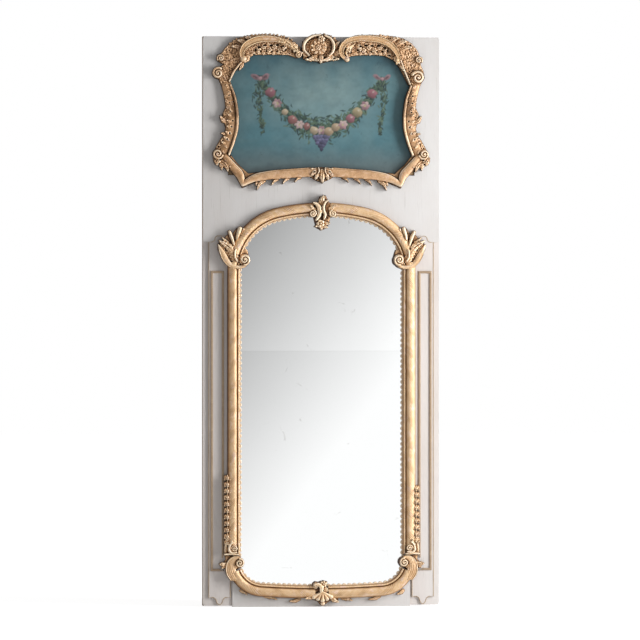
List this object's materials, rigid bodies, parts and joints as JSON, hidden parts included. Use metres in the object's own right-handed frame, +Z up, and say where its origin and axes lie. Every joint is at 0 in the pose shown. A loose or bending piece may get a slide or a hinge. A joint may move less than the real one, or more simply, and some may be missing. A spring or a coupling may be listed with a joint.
{
  "type": "trumeau mirror",
  "caption": "Tall painted panel with a carved gilt frame round a painting above an arched, carved and gilt wall mirror made of stacked plates; hangs on keyhole plates.",
  "frame": {"origin": "foot of the panel, in the middle of its back face, on the wall plane", "axes": "+X to the viewer's right, +Y into the wall, +Z up; the mirror faces -Y"},
  "size_m": [0.916, 0.09, 2.2212],
  "materials": {
    "painted_wood": "matt grey distemper paint, worn at the edges",
    "gilded_carving": "carved wood with old water gilding over gesso, rubbed on the high points",
    "brown_trim": "thin moulding with worn bronze-brown paint",
    "back_oak": "bare aged oak",
    "backing_pine": "bare aged pine boards",
    "stretcher_pine": "bare aged pine",
    "painted_canvas": "oil paint on primed linen, thin satin varnish",
    "mirror_glass": "old silvered plate with light foxing",
    "iron_fittings": "dark wrought iron with light rust"
  },
  "bodies": {
    "root": {"arch_board": "painted_wood", "arch_crest": "gilded_carving", "arch_moulding_left": "gilded_carving", "arch_moulding_right": "gilded_carving", "back_muntin_lower": "back_oak", "back_muntin_upper": "back_oak", "back_rail_bottom": "back_oak", "back_rail_middle": "back_oak", "back_rail_top": "back_oak", "back_rail_upper": "back_oak", "back_stile_left": "back_oak", "back_stile_right": "back_oak", "bottom_board": "painted_wood", "bottom_leaves": "gilded_carving", "bottom_moulding_left": "gilded_carving", "bottom_moulding_right": "gilded_carving", "bottom_spray": "gilded_carving", "cartouche_clasp": "gilded_carving", "cartouche_crest": "gilded_carving", "cartouche_lower_left": "gilded_carving", "cartouche_lower_right": "gilded_carving", "cartouche_side_left": "gilded_carving", "cartouche_side_right": "gilded_carving", "cartouche_upper_left": "gilded_carving", "cartouche_upper_right": "gilded_carving", "corner_scroll_left": "gilded_carving", "corner_scroll_right": "gilded_carving", "frame_screws": "iron_fittings", "hanger_plates": "iron_fittings", "husk_garlands": "gilded_carving", "mirror_backing_centre": "backing_pine", "mirror_backing_left": "backing_pine", "mirror_backing_right": "backing_pine", "mirror_plate_lower": "mirror_glass", "mirror_plate_upper": "mirror_glass", "mirror_stile_left": "painted_wood", "mirror_stile_right": "painted_wood", "painting_canvas": "painted_canvas", "shoulder_shell_left": "gilded_carving", "shoulder_shell_right": "gilded_carving", "side_moulding_left": "gilded_carving", "side_moulding_right": "gilded_carving", "sight_slips": "gilded_carving", "stretcher_bottom": "stretcher_pine", "stretcher_crossbar": "stretcher_pine", "stretcher_keys": "stretcher_pine", "stretcher_side_left": "stretcher_pine", "stretcher_side_right": "stretcher_pine", "stretcher_top": "stretcher_pine", "top_board": "painted_wood", "top_scroll_left": "gilded_carving", "top_scroll_right": "gilded_carving", "upper_plank_left": "painted_wood", "upper_plank_right": "painted_wood", "wing_board_left": "painted_wood", "wing_board_right": "painted_wood", "wing_moulding_left": "brown_trim", "wing_moulding_right": "brown_trim", "wing_panel_left": "painted_wood", "wing_panel_right": "painted_wood"}
  },
  "joints": []
}
